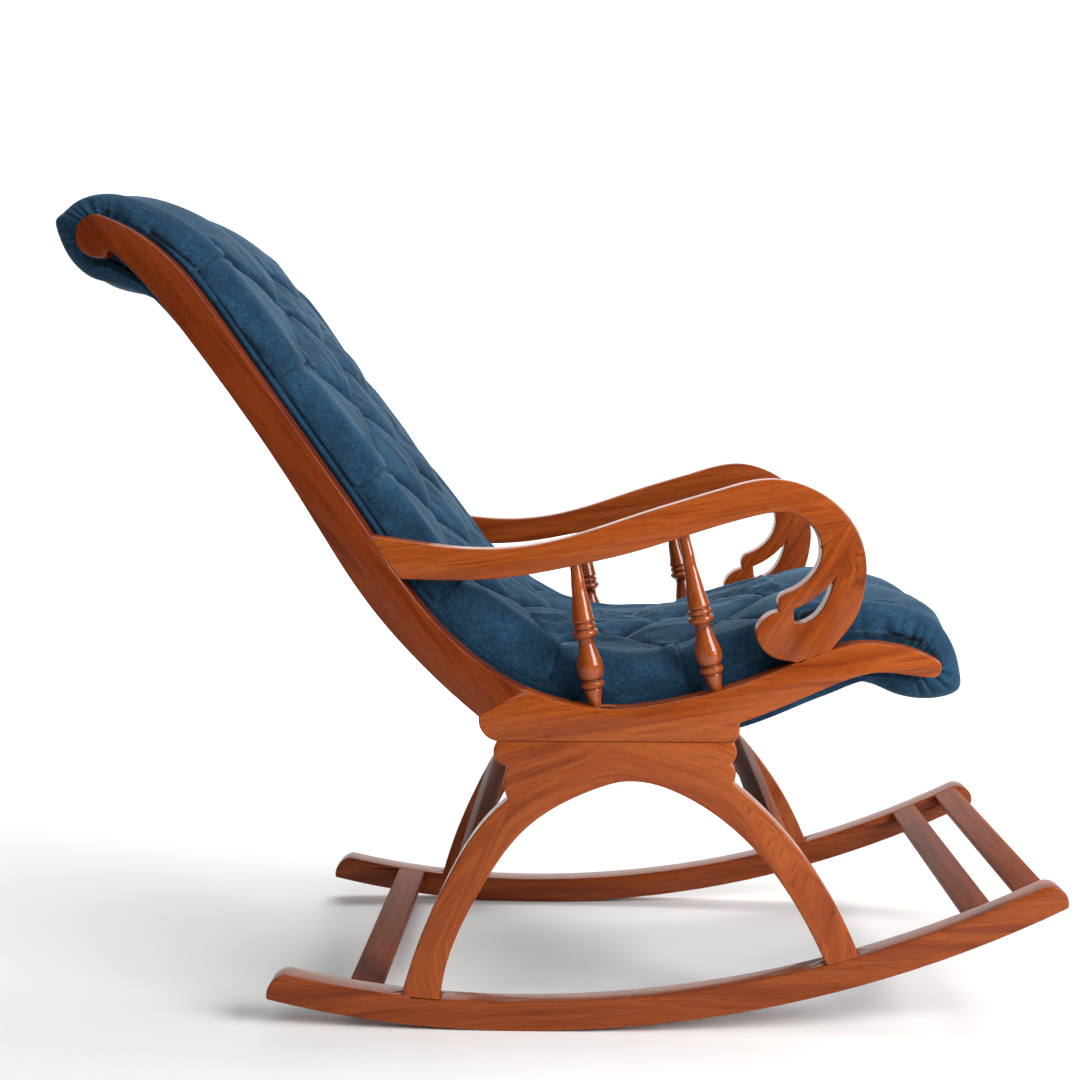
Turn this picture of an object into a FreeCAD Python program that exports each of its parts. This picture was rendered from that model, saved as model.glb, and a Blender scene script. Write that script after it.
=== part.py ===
"""Teak rocking chair on curved runners, with tufted upholstery slung between two flat side frames.

Millimetres. X runs from the head of the chair to its foot slats, Y across it and Z up from the floor.
Outlines are drawn in the XZ plane. The right side frame is built first and the left one is its mirror image.
"""
import FreeCAD, Part
import math
import os

V = FreeCAD.Vector
ACROSS = V(0, 1, 0)

# Main sizes
chair_width = 600.0
board_thickness = 36.0
joint_gap = 0.3
cloth_gap = 2.0

# Runners: two arcs that meet where the chair touches the floor
contact_x = -65.0
rear_rocker_radius = 1300.0
front_rocker_radius = 1500.0
runner_depth = 36.0
runner_rear_x = -370.0
runner_front_x = 612.0
runner_rear_nose = 24.0
runner_front_nose = 32.0

# Front edge of the back rail and top edge of the seat rail, one flowing line from scroll to toe
RAIL_LINE = [(-563, 1000), (-540, 991), (-487, 956), (-414, 867), (-334, 754), (-235, 612), (-182, 536),
             (-128, 478), (-63, 432), (2, 409), (70, 403), (146, 415), (216, 434), (278, 460), (321, 476),
             (354, 484), (389, 483), (417, 478), (444, 467)]
mitre_station = 783.0

# Back rail
scroll_centre = (-564, 974)
scroll_radius = 26.0
scroll_notch = (-550, 958)
BACK_RAIL_REAR = [(-105, 392), (-172, 453), (-243, 535), (-315, 648), (-383, 752), (-460, 858), (-512, 922),
                  scroll_notch]

# Seat rail with the upper part of the scalloped block
toe_tip = (454, 455)
SEAT_RAIL_UNDER = [(445, 443), (408, 447), (382, 449), (350, 443), (308, 426), (253, 402), (211, 386)]
block_split_z = 362.0
block_rear_x = -82.0
block_front_x = 204.0
upper_scallop_rear = (-99, 371)
upper_scallop_front = (212, 374)

# Legs, which meet under the block
leg_split_x = 60.0
REAR_SCALLOPS = [(block_rear_x, block_split_z), (-87, 346), (-70, 331), (-75, 311), (-69, 290)]
FRONT_SCALLOPS = [(block_front_x, block_split_z), (209, 350), (201, 336), (208, 325), (204, 312)]
REAR_LEG_OUTER = [(-69, 290), (-113, 244), (-145, 189), (-182, 106), (-206, 28)]
REAR_LEG_INNER = [(-157, 20), (-140, 101), (-107, 171), (-42, 259), (10, 292), (leg_split_x, 311)]
FRONT_LEG_OUTER = [(204, 312), (241, 280), (291, 223), (333, 158), (357, 107), (366, 84)]
FRONT_LEG_INNER = [(329, 68), (316, 97), (280, 165), (222, 240), (145, 296), (90, 313), (leg_split_x, 311)]

# Arm rest and the scroll that carries its front end
ARM_TOP = [(-250, 614), (-203, 608), (-128, 598), (-52, 600), (23, 617), (101, 643), (187, 669), (250, 682),
           (303, 668), (342, 635)]
ARM_UNDER = [(308, 600), (298, 625), (272, 641), (229, 638), (166, 620), (80, 593), (2, 575), (-74, 562),
             (-150, 559), (-215, 561)]
SCROLL_OUTER = [(342, 635), (355, 612), (362, 584), (361, 554), (346, 508), (321, 476), (312, 460)]
SCROLL_SEAT = [(278, 460), (321, 476)]
SCROLL_INNER = [(308, 600), (305, 579), (288, 557), (266, 545)]
upper_lobe = (257, 534)
lobe_notch = (259, 522)
LOWER_LOBE = [lobe_notch, (239, 512), (231, 496), (237, 479), (256, 465), (280, 460), (292, 452)]
LEAF_LOWER = [(324, 562), (319, 545), (303, 518), (277, 507)]
LEAF_UPPER = [(275, 525), (299, 538), (324, 562)]

# Turned spindles: foot on the seat rail, head under the arm
REAR_SPINDLE = [(37, 405), (12, 577)]
FRONT_SPINDLE = [(184, 424), (144, 613)]
spindle_end_radius = 6.5
# Radius and height up the spindle: two rings over the foot, the vase, two discs over its neck
FOOT_RING = [(11.5, 17), (13.5, 19.5), (11.5, 22)]
COLLAR_RING = [(11.5, 22), (14.5, 26), (11.5, 30)]
VASE = [(11.5, 30), (16, 44), (13, 62), (9.5, 79)]
LOWER_DISC = [(10.5, 82), (15.5, 87), (11.5, 92)]
UPPER_DISC = [(11.5, 92), (14.5, 95.5), (11.5, 99)]
SHAFT = [(13, 106), (10.5, 125)]
spindle_run_on = 5.0
tenon_radius = 4.5
tenon_length = 14.0

# Cross pieces of the base
stretcher_width = 32.0
stretcher_depth = 24.0
rear_stretcher_near = (-127, 222)
front_stretcher_near = (266, 255)
slat_thickness = 18.0
rear_slat_x = runner_rear_x + 120.0
rear_slat_width = 40.0
inner_foot_slat_x = runner_front_x - 104.0
outer_foot_slat_x = runner_front_x - 41.0
foot_slat_width = 36.0
foot_slat_nose = 9.0

# Cross bars behind the upholstery: each lies flat against the plywood between one row and the next
head_bar_radius = 20.0
toe_bar_radius = 14.0
toe_bar_centre = (424, 460)
bar_width = 38.0
thin_bar = 20.0
deep_bar = 32.0
BACK_BARS = {"upper_back_bar": (0, thin_bar), "middle_back_bar": (6, thin_bar), "hip_bar": (12, thin_bar)}
SEAT_BARS = {"rear_seat_bar": (16, thin_bar), "middle_seat_bar": (21, deep_bar),
             "front_seat_bar": (24, deep_bar)}

# Upholstery, measured square to the rail line
tuft_pitch = 165.0
first_seam = 145.0
rows_per_pitch = 4
head_end_row = -2
waist_row = 14
toe_end_row = 26
pad_bottom = -12.0
plywood_thickness = 10.0
foam_top = 22.0
foam_inset = 38.0
shoulder = 20.0
low_crown = 2.0
high_crown = 10.0
puff_columns = 4
lining_thickness = 1.5
shallow_lining = 44.0
deep_lining = 56.0
head_lining_bulge = 10.0
lining_drop_rows = (17, 20)
# Row, height of the pad's side above the rail line, and rise of its creases above that
PAD_HEIGHTS = [(head_end_row, 24, 5), (4, 32, 6), (waist_row, 46, 12), (22, 47, 12), (toe_end_row, 29, 8)]
HEAD_ROLL_REAR = [(-556, 1026), (-627, 994), (-610, 946), (-566, 921)]
TOE_ROLL_FRONT = [(450, 506), (487, 440), (475, 416), (434, 410), (404, 414)]
roll_end_draw = 0.9
roll_seam_draw = 0.965

# Dowels and tacks
dowel_radius = 5.0
dowel_length = 40.0
dowel_fit = 0.1
dowel_end_gap = 1.0
dowel_pitch = 20.0
REAR_LEG_FOOT = [(-178, 42), (-170, 70)]
FRONT_LEG_FOOT = [(345, 90), (330, 118)]
tack_radius = 1.2
tack_length = 9.0
tack_head_radius = 3.0
tack_head_thickness = 1.0
tacks_per_bar = 9

half_width = chair_width / 2
inner_half = half_width - board_thickness
cloth_half = inner_half - cloth_gap
board_middle = -half_width + board_thickness / 2


def point(place, y=0.0):
    return V(place[0], y, place[1])


def line(start, end):
    return Part.LineSegment(point(start), point(end)).toShape()


def arc(start, middle, end):
    return Part.Arc(point(start), point(middle), point(end)).toShape()


def spline(places):
    curve = Part.BSplineCurve()
    curve.interpolate([point(place) for place in places])
    return curve


def along(start, end, share):
    return tuple(a + (b - a) * share for a, b in zip(start, end))


def on_circle(centre, radius, x, side):
    """Point of a circle above (+1) or below (-1) its centre at the given x."""
    return (x, centre[1] + side * math.sqrt(radius ** 2 - (x - centre[0]) ** 2))


def slab(edges, start_y, width):
    """Closed outline made into a solid that runs across the chair from start_y."""
    face = Part.Face(Part.Wire(Part.__sortEdges__(edges)))
    solid = face.extrude(V(0, width, 0))
    solid.translate(V(0, start_y, 0))
    return solid


def board(edges):
    return slab(edges, -half_width, board_thickness)


def mirrored(shape):
    return shape.mirror(V(0, 0, 0), ACROSS)


def rod(centre, direction, radius, length):
    """Cylinder with its middle at centre."""
    direction = V(direction).normalize()
    return Part.makeCylinder(radius, length, centre - direction * (length / 2), direction)


def oriented_box(centre, length_direction, thickness_direction, length, thickness, width):
    """Bar across the chair, drawn as a rectangle in XZ whose top middle is at centre."""
    u = V(length_direction).normalize() * (length / 2)
    w = V(thickness_direction).normalize() * thickness
    corners = [centre - u, centre + u, centre + u + w, centre - u + w]
    wire = Part.makePolygon(corners + corners[:1])
    solid = Part.Face(wire).extrude(V(0, width, 0))
    solid.translate(V(0, -width / 2, 0))
    return solid


rail_curve = spline(RAIL_LINE)
rail_length = rail_curve.length()


def rail_parameter(station):
    return rail_curve.parameterAtDistance(station)


def rail_place(station):
    """Point, forward direction and outward normal of the rail line at a distance along it."""
    parameter = rail_parameter(station)
    tangent = V(rail_curve.tangent(parameter)[0])
    return rail_curve.value(parameter), tangent, V(-tangent.z, 0, tangent.x)


def off_rail(station, rise):
    place, _, normal = rail_place(station)
    return place + normal * rise


def rail_edge(start, end):
    return rail_curve.toShape(rail_parameter(start), rail_parameter(end))


def flat(vector):
    return (vector.x, vector.z)


# Side frames

def back_rail():
    """Long curved post that ends in a small round scroll at the top."""
    top = flat(rail_curve.value(rail_parameter(0)))
    mitre_top = flat(rail_curve.value(rail_parameter(mitre_station)))
    below = (scroll_centre[0] + scroll_radius * math.sin(math.radians(25)),
             scroll_centre[1] - scroll_radius * math.cos(math.radians(25)))
    far_left = (scroll_centre[0] - scroll_radius, scroll_centre[1])
    return board([rail_edge(0, mitre_station), line(mitre_top, BACK_RAIL_REAR[0]),
                  spline(BACK_RAIL_REAR).toShape(), line(scroll_notch, below), arc(below, far_left, top)])


def seat_rail():
    """Seat rail, from the mitre to the rounded toe, with the top row of the scallops under it."""
    mitre_top = flat(rail_curve.value(rail_parameter(mitre_station)))
    toe_top = RAIL_LINE[-1]
    under = SEAT_RAIL_UNDER
    rear_corner = (block_rear_x, block_split_z)
    front_corner = (block_front_x, block_split_z)
    mitre_foot = BACK_RAIL_REAR[0]
    return board([rail_edge(mitre_station, rail_length), arc(toe_top, toe_tip, under[0]),
                  spline(under).toShape(), arc(under[-1], upper_scallop_front, front_corner),
                  line(front_corner, rear_corner), arc(rear_corner, upper_scallop_rear, mitre_foot),
                  line(mitre_foot, mitre_top)])


def leg(outer, inner, scallops):
    """Curved leg with two scallops at its head. Its foot is cut to the runner afterwards."""
    split_top = (leg_split_x, block_split_z)
    return board([line(split_top, scallops[0]), arc(*scallops[:3]), arc(*scallops[2:]),
                  spline(outer).toShape(), line(outer[-1], inner[0]), spline(inner).toShape(),
                  line(inner[-1], split_top)])


def runner():
    """Band between two pairs of arcs that share their centres, with rounded upper corners."""
    rear_centre = (contact_x, rear_rocker_radius)
    front_centre = (contact_x, front_rocker_radius)
    rear_top_radius = rear_rocker_radius - runner_depth
    front_top_radius = front_rocker_radius - runner_depth

    def rear(x, radius):
        return on_circle(rear_centre, radius, x, -1)

    def front(x, radius):
        return on_circle(front_centre, radius, x, -1)

    bottom = rear(contact_x, rear_rocker_radius)
    top = rear(contact_x, rear_top_radius)
    rear_tip = rear(runner_rear_x, rear_rocker_radius)
    front_tip = front(runner_front_x, front_rocker_radius)
    rear_shoulder = rear(runner_rear_x + runner_rear_nose, rear_top_radius)
    front_shoulder = front(runner_front_x - runner_front_nose, front_top_radius)
    rear_round = (runner_rear_x + runner_rear_nose * 0.25, along(rear_tip, rear_shoulder, 0.68)[1])
    front_round = (runner_front_x - runner_front_nose * 0.28, front_shoulder[1] - 1)
    rear_half = (runner_rear_x + contact_x) / 2
    front_half = (runner_front_x + contact_x) / 2
    return board([arc(rear_tip, rear(rear_half, rear_rocker_radius), bottom),
                  arc(bottom, front(front_half, front_rocker_radius), front_tip),
                  arc(front_tip, front_round, front_shoulder),
                  arc(front_shoulder, front(front_half, front_top_radius), top),
                  arc(top, rear(rear_half, rear_top_radius), rear_shoulder),
                  arc(rear_shoulder, rear_round, rear_tip)])


def arm():
    """Long arm rest that rises to a hump above the scroll. Its rear end is cut to the back rail later."""
    return board([spline(ARM_TOP).toShape(), line(ARM_TOP[-1], ARM_UNDER[0]), spline(ARM_UNDER).toShape(),
                  line(ARM_UNDER[-1], ARM_TOP[0])])


def arm_scroll():
    """Curl under the front of the arm with two lobes and a leaf-shaped hole."""
    curl = board([line(ARM_TOP[-1], ARM_UNDER[0]), spline(SCROLL_OUTER).toShape(),
                  line(SCROLL_OUTER[-1], LOWER_LOBE[-1]), spline(LOWER_LOBE).toShape(),
                  arc(lobe_notch, upper_lobe, SCROLL_INNER[-1]), spline(SCROLL_INNER).toShape()])
    leaf = board([spline(LEAF_LOWER).toShape(), line(LEAF_LOWER[-1], LEAF_UPPER[0]),
                  spline(LEAF_UPPER).toShape()])
    return curl.cut(leaf)


def turned_spindle(length):
    """Vase and rings turned round Z, foot at the origin. Both ends run on into the wood they meet."""
    end = spindle_end_radius
    foot, head = -spindle_run_on, length + spindle_run_on
    steps = [line((0, foot), (end, foot)), line((end, foot), FOOT_RING[0]), arc(*FOOT_RING),
             arc(*COLLAR_RING), spline(VASE).toShape(), line(VASE[-1], LOWER_DISC[0]), arc(*LOWER_DISC),
             arc(*UPPER_DISC), line(UPPER_DISC[-1], SHAFT[0]),
             spline(SHAFT + [(end, length), (end, head)]).toShape(),
             line((end, head), (0, head)), line((0, head), (0, foot))]
    face = Part.Face(Part.Wire(Part.__sortEdges__(steps)))
    return face.revolve(V(0, 0, 0), V(0, 0, 1), 360)


def stand_up(shape, foot, head):
    """Turns a shape made along Z onto the line from foot to head in the middle of the right side frame."""
    lean = math.degrees(math.atan2(head[0] - foot[0], head[1] - foot[1]))
    shape.rotate(V(0, 0, 0), ACROSS, lean)
    shape.translate(point(foot, board_middle))
    return shape


def spindle_tenons(foot, head, radius, length):
    """The two round tenons of one spindle, or their holes."""
    direction = (point(head) - point(foot)).normalize()
    return [rod(point(foot, board_middle) - direction * (length / 2 - 2), direction, radius, length),
            rod(point(head, board_middle) + direction * (length / 2 - 2), direction, radius, length)]


# Dowels: each joint gives the two pieces it joins, the middles of its dowels and their direction

def dowel(centre, direction):
    return rod(centre, direction, dowel_radius, dowel_length)


def dowel_hole(centre, direction):
    return rod(centre, direction, dowel_radius + dowel_fit, dowel_length + 2 * dowel_end_gap)


def joint_places(start, end, shares):
    return [point(along(start, end, share), board_middle) for share in shares]


def square_to(start, end):
    """Direction in XZ at right angles to the line between two places."""
    return V(start[1] - end[1], 0, end[0] - start[0])


def add_dowels(parts, group, names, places, direction):
    """Bores both pieces of a joint and adds its dowels to a group."""
    for place in places:
        for name in names:
            parts[name] = parts[name].cut(dowel_hole(place, direction))
        group.append(dowel(place, direction))


# Upholstery

def row_station(row):
    return first_seam + row * tuft_pitch / rows_per_pitch


def pad_heights(row):
    """Side and crease height at a row: low on the back, high on the seat, low again at the toe."""
    for (start, *low), (end, *high) in zip(PAD_HEIGHTS, PAD_HEIGHTS[1:]):
        if row <= end:
            side, rise = along(low, high, (row - start) / (end - start))
            return side, side + rise


def crown(column, row):
    """Rise of one puff above its creases. Neighbouring columns are staggered by half a pitch."""
    outer = column in (0, puff_columns - 1)
    phase = 0.0 if outer else 0.5
    swell = abs(math.sin(math.pi * (row / rows_per_pitch + phase)))
    return low_crown + (high_crown - low_crown) * swell


def pad_section(row):
    """Section across a pad: flat under, straight sides, rounded shoulders and one arc for each puff."""
    place, _, normal = rail_place(row_station(row))
    side, crease = pad_heights(row)
    first = cloth_half - shoulder
    bounds = [-first + 2 * first * column / puff_columns for column in range(puff_columns + 1)]
    heights = [side + shoulder * 0.35] + [crease] * (puff_columns - 1) + [side + shoulder * 0.35]

    def at(y, rise):
        return place + normal * rise + ACROSS * y

    def seg(a, b):
        return Part.LineSegment(at(*a), at(*b)).toShape()

    def bow(a, b, c):
        return Part.Arc(at(*a), at(*b), at(*c)).toShape()

    low = side - shoulder * 0.4
    bulge = shoulder * 0.26
    edges = [seg((-cloth_half, pad_bottom), (-cloth_half, low)),
             bow((-cloth_half, low), (-cloth_half + bulge, side - bulge * 0.2), (bounds[0], heights[0]))]
    for column in range(puff_columns):
        middle = (bounds[column] + bounds[column + 1]) / 2
        top = (heights[column] + heights[column + 1]) / 2 + crown(column, row)
        edges.append(bow((bounds[column], heights[column]), (middle, top),
                         (bounds[column + 1], heights[column + 1])))
    edges += [bow((bounds[-1], heights[-1]), (cloth_half - bulge, side - bulge * 0.2), (cloth_half, low)),
              seg((cloth_half, low), (cloth_half, pad_bottom)),
              seg((cloth_half, pad_bottom), (-cloth_half, pad_bottom))]
    return Part.Wire(edges)


def tufted_pad(start_row, end_row):
    return Part.makeLoft([pad_section(row) for row in range(start_row, end_row + 1)], True, True)


def layer(rows, low, high, half):
    """Layer that follows the rail line between two heights, each a number or a function of the row."""
    def level(value, row):
        return value(row) if callable(value) else value

    def section(row):
        place, _, normal = rail_place(row_station(row))
        corners = [place + normal * level(rise, row) + ACROSS * y
                   for rise, y in ((low, -half), (high, -half), (high, half), (low, half))]
        return Part.makePolygon(corners + corners[:1])

    return Part.makeLoft([section(row) for row in rows], True, True)


def back_lining_level(row):
    """The cloth behind the back stands off the rail near the head roll."""
    share = max(0.0, 1 - (row - head_end_row) / 5)
    return -shallow_lining - head_lining_bulge * share


def seat_lining_level(row):
    """The cloth under the seat drops below the rails where they rise towards the toe."""
    first, last = lining_drop_rows
    share = min(1.0, max(0.0, (row - first) / (last - first)))
    return -shallow_lining - (deep_lining - shallow_lining) * share


def facet(row, level):
    """Middle, direction and outward normal of the flat strip between a row and the next at one level."""
    start = off_rail(row_station(row), level)
    end = off_rail(row_station(row + 1), level)
    direction = (end - start).normalize()
    return (start + end) * 0.5, direction, V(-direction.z, 0, direction.x)


def roll(outline, centre, bar_radius, ends):
    """Padded roll across the chair: one outline, drawn in at its ends and at each seam between its puffs."""
    stations = []
    for column in range(puff_columns + 1):
        y = -cloth_half + 2 * cloth_half * column / puff_columns
        stations.append((y, ends if column in (0, puff_columns) else roll_seam_draw))
        if column < puff_columns:
            stations += [(y + 2 * cloth_half / puff_columns * share, 1.0) for share in (0.25, 0.75)]
    middle = point(centre)
    sections = []
    for y, draw in stations:
        wire = outline(draw)
        wire.translate(V(0, y, 0))
        sections.append(wire)
    padding = Part.makeLoft(sections, True, True)
    return padding.cut(rod(middle, ACROSS, bar_radius + joint_gap, chair_width))


def head_roll():
    """Roll over the head bar, with a soft corner at its back."""
    top = flat(off_rail(row_station(head_end_row), pad_heights(head_end_row)[1]))
    rear = flat(off_rail(row_station(head_end_row), back_lining_level(head_end_row) - lining_thickness))

    def outline(draw):
        def drawn(place):
            return along(scroll_centre, place, draw)

        crest, corner, back, foot = [drawn(place) for place in HEAD_ROLL_REAR]
        return Part.Wire([arc(top, crest, corner), arc(corner, back, foot), line(foot, rear),
                          line(rear, top)])

    return roll(outline, scroll_centre, head_bar_radius, roll_end_draw)


def toe_roll():
    """Fat roll over the toe bar that hangs a little below the seat."""
    top = flat(off_rail(row_station(toe_end_row), pad_heights(toe_end_row)[1]))
    under = flat(off_rail(row_station(toe_end_row), seat_lining_level(toe_end_row) - lining_thickness))

    def outline(draw):
        def drawn(place):
            return along(toe_bar_centre, place, draw)

        crest, lip, chin, foot, hollow = [drawn(place) for place in TOE_ROLL_FRONT]
        return Part.Wire([arc(top, crest, lip), arc(lip, chin, foot), arc(foot, hollow, under),
                          line(under, top)])

    return roll(outline, toe_bar_centre, toe_bar_radius, roll_end_draw)


def cross_bar(row, depth):
    """Flat bar between the side frames, just under the plywood."""
    middle, direction, normal = facet(row, pad_bottom - plywood_thickness)
    return oriented_box(middle - normal * joint_gap, direction, normal * -1, bar_width, depth, 2 * inner_half)


def tack(foot, direction):
    """Tack driven along direction, with its flat head at foot."""
    shank = Part.makeCylinder(tack_radius, tack_length, foot, direction)
    top = foot - direction * tack_head_thickness
    head = Part.makeCylinder(tack_head_radius, tack_head_thickness, top, direction)
    return shank.fuse(head)


def build():
    parts = {}
    rail_names = ["back_rail", "seat_rail", "rear_leg", "front_leg", "runner", "arm", "arm_scroll"]
    parts["back_rail"] = back_rail()
    parts["seat_rail"] = seat_rail()
    parts["runner"] = runner()
    parts["rear_leg"] = leg(REAR_LEG_OUTER, REAR_LEG_INNER, REAR_SCALLOPS).cut(parts["runner"])
    parts["front_leg"] = leg(FRONT_LEG_OUTER, FRONT_LEG_INNER, FRONT_SCALLOPS).cut(parts["runner"])
    parts["arm"] = arm().cut(parts["back_rail"])
    parts["arm_scroll"] = arm_scroll().cut(parts["seat_rail"])

    for name, (foot, head) in {"rear_spindle": REAR_SPINDLE, "front_spindle": FRONT_SPINDLE}.items():
        length = (point(head) - point(foot)).Length
        body = stand_up(turned_spindle(length), foot, head).cut(parts["seat_rail"]).cut(parts["arm"])
        parts[name] = body.multiFuse(spindle_tenons(foot, head, tenon_radius, tenon_length))
        foot_hole, head_hole = spindle_tenons(foot, head, tenon_radius + dowel_fit,
                                              tenon_length + dowel_end_gap)
        parts["seat_rail"] = parts["seat_rail"].cut(foot_hole)
        parts["arm"] = parts["arm"].cut(head_hole)

    rail_dowels, arm_dowels, leg_dowels, runner_dowels, cross_dowels = [], [], [], [], []
    mitre_top = flat(rail_curve.value(rail_parameter(mitre_station)))
    mitre = (BACK_RAIL_REAR[0], mitre_top)
    add_dowels(parts, rail_dowels, ["back_rail", "seat_rail"], joint_places(*mitre, (0.36, 0.7)),
               square_to(*mitre))
    arm_rear = (RAIL_LINE[5], ARM_UNDER[-1])
    add_dowels(parts, arm_dowels, ["back_rail", "arm"], joint_places(*arm_rear, (0.27, 0.73)), V(1, 0, 0))
    elbow = (ARM_TOP[-1], ARM_UNDER[0])
    add_dowels(parts, arm_dowels, ["arm", "arm_scroll"], joint_places(*elbow, (0.3, 0.7)), square_to(*elbow))
    add_dowels(parts, arm_dowels, ["arm_scroll", "seat_rail"], joint_places(*SCROLL_SEAT, (0.28, 0.72)),
               square_to(*SCROLL_SEAT))
    block = ((block_rear_x, block_split_z), (block_front_x, block_split_z))
    for name, shares in (("rear_leg", (0.15, 0.36)), ("front_leg", (0.63, 0.85))):
        add_dowels(parts, leg_dowels, ["seat_rail", name], joint_places(*block, shares), square_to(*block))
    split = (FRONT_LEG_INNER[-1], (leg_split_x, block_split_z))
    add_dowels(parts, leg_dowels, ["rear_leg", "front_leg"], joint_places(*split, (0.3, 0.7)),
               square_to(*split))
    for name, (foot, shin) in (("rear_leg", REAR_LEG_FOOT), ("front_leg", FRONT_LEG_FOOT)):
        lean = (point(shin) - point(foot)).normalize()
        side = V(lean.z, 0, -lean.x) * (dowel_pitch / 2)
        places = [point(foot, board_middle) + side * sign for sign in (-1, 1)]
        add_dowels(parts, runner_dowels, [name, "runner"], places, lean)

    # Cross pieces reach from one side frame to the other, with two dowels in each end
    crossings = {}
    span = 2 * inner_half
    for name, outer, near, owner in (("rear_stretcher", REAR_LEG_OUTER, rear_stretcher_near, "rear_leg"),
                                     ("front_stretcher", FRONT_LEG_OUTER, front_stretcher_near, "front_leg")):
        edge = spline(outer)
        parameter = edge.parameter(point(near))
        tangent = V(edge.tangent(parameter)[0])
        inward = V(tangent.z, 0, -tangent.x)
        if inward.x * near[0] > 0:
            inward = inward * -1
        bar = oriented_box(edge.value(parameter), tangent, inward, stretcher_width, stretcher_depth, span)
        crossings[name] = (bar, owner, bar.CenterOfMass, tangent, dowel_pitch / 2)
    slats = (("rear_slat", rear_slat_x, rear_slat_width, rear_rocker_radius),
             ("inner_foot_slat", inner_foot_slat_x, foot_slat_width, front_rocker_radius),
             ("outer_foot_slat", outer_foot_slat_x, foot_slat_width, front_rocker_radius))
    for name, x, width, radius in slats:
        top = on_circle((contact_x, radius), radius - runner_depth, x, -1)
        tangent = V(radius - top[1], 0, x - contact_x)
        down = V(tangent.z, 0, -tangent.x)
        slat = oriented_box(point(top), tangent, down, width, slat_thickness, span)
        if name == "outer_foot_slat":
            nose = [edge for edge in slat.Edges if edge.Length > span - 1 and edge.CenterOfMass.x > x
                    and (edge.CenterOfMass - point(top)).dot(down) < slat_thickness / 2]
            slat = slat.makeFillet(foot_slat_nose, nose).Solids[0]
        crossings[name] = (slat, "runner", slat.CenterOfMass, tangent, dowel_pitch / 2)
    for bars, owner in ((BACK_BARS, "back_rail"), (SEAT_BARS, "seat_rail")):
        for name, (row, depth) in bars.items():
            middle, direction, normal = facet(row, pad_bottom - plywood_thickness)
            crossings[name] = (cross_bar(row, depth), owner, middle - normal * (thin_bar / 2), direction,
                               dowel_pitch / 2)
    for name, centre, radius, owner in (("head_bar", scroll_centre, head_bar_radius, "back_rail"),
                                        ("toe_bar", toe_bar_centre, toe_bar_radius, "seat_rail")):
        bar = rod(point(centre), ACROSS, radius, span)
        crossings[name] = (bar, owner, point(centre), V(1, 0, 0), radius / 2)
    for name, (bar, owner, middle, direction, reach) in crossings.items():
        direction = V(direction).normalize()
        for sign in (-1, 1):
            place = middle + direction * (reach * sign) - ACROSS * inner_half
            hole = dowel_hole(place, ACROSS)
            bar = bar.cut(hole).cut(mirrored(hole))
            parts[owner] = parts[owner].cut(hole)
            cross_dowels.append(dowel(place, ACROSS))
        crossings[name] = bar

    # Plywood, foam and covers
    back_rows = range(head_end_row, waist_row + 1)
    seat_rows = range(waist_row, toe_end_row + 1)
    plywood_bottom = pad_bottom - plywood_thickness
    soft = {"back_plywood": layer(back_rows, plywood_bottom, pad_bottom, cloth_half),
            "seat_plywood": layer(seat_rows, plywood_bottom, pad_bottom, cloth_half),
            "back_foam": layer(back_rows[1:-1], pad_bottom, foam_top, cloth_half - foam_inset),
            "seat_foam": layer(seat_rows[1:-1], pad_bottom, foam_top, cloth_half - foam_inset),
            "back_lining": layer(back_rows, lambda row: back_lining_level(row) - lining_thickness,
                                 back_lining_level, cloth_half),
            "seat_lining": layer(seat_rows, lambda row: seat_lining_level(row) - lining_thickness,
                                 seat_lining_level, cloth_half),
            "head_roll": head_roll(), "toe_roll": toe_roll()}
    soft["back_pad"] = tufted_pad(head_end_row, waist_row).cut(soft["back_foam"])
    soft["seat_pad"] = tufted_pad(waist_row, toe_end_row).cut(soft["seat_foam"])

    # Tacks hold the lining to the bars
    tacks = []
    for bars, lining, level in ((BACK_BARS, "back_lining", back_lining_level),
                                (SEAT_BARS, "seat_lining", seat_lining_level)):
        for name, (row, _) in bars.items():
            outside = level(row + 0.5) - lining_thickness
            middle, _, normal = facet(row, outside - joint_gap)
            for number in range(tacks_per_bar):
                foot = middle + ACROSS * (inner_half * (2 * (number + 0.5) / tacks_per_bar - 1))
                hole = rod(foot, normal, tack_radius, 2 * tack_length)
                soft[lining] = soft[lining].cut(hole)
                crossings[name] = crossings[name].cut(hole)
                tacks.append(tack(foot, normal))

    finished = {}
    for name in rail_names + ["rear_spindle", "front_spindle"]:
        finished[name + "_right"] = parts[name]
        finished[name + "_left"] = mirrored(parts[name])
    finished.update(crossings)
    finished.update(soft)
    for name, group in {"rail_dowels": rail_dowels, "arm_dowels": arm_dowels, "leg_dowels": leg_dowels,
                        "runner_dowels": runner_dowels, "cross_piece_dowels": cross_dowels}.items():
        finished[name] = Part.makeCompound(group + [mirrored(pin) for pin in group])
    finished["lining_tacks"] = Part.makeCompound(tacks)
    return finished


def centred(shapes):
    """Moves the whole chair along X so that the origin is under the middle of its length."""
    box = FreeCAD.BoundBox()
    for shape in shapes.values():
        box.add(shape.optimalBoundingBox(False))
    for shape in shapes.values():
        shape.translate(V(-box.Center.x, 0, 0))
    return shapes


os.makedirs("parts", exist_ok=True)
for node, shape in centred(build()).items():
    shape.exportStep("parts/%s.step" % node)
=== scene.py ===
"""Varnished teak rocking chair with a tufted velvet seat and back, dressed over its CAD frame.

Metres, in the frame of the CAD: +X towards the foot slats, -Y the near side in the photograph, +Z up.
"""
import math

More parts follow.
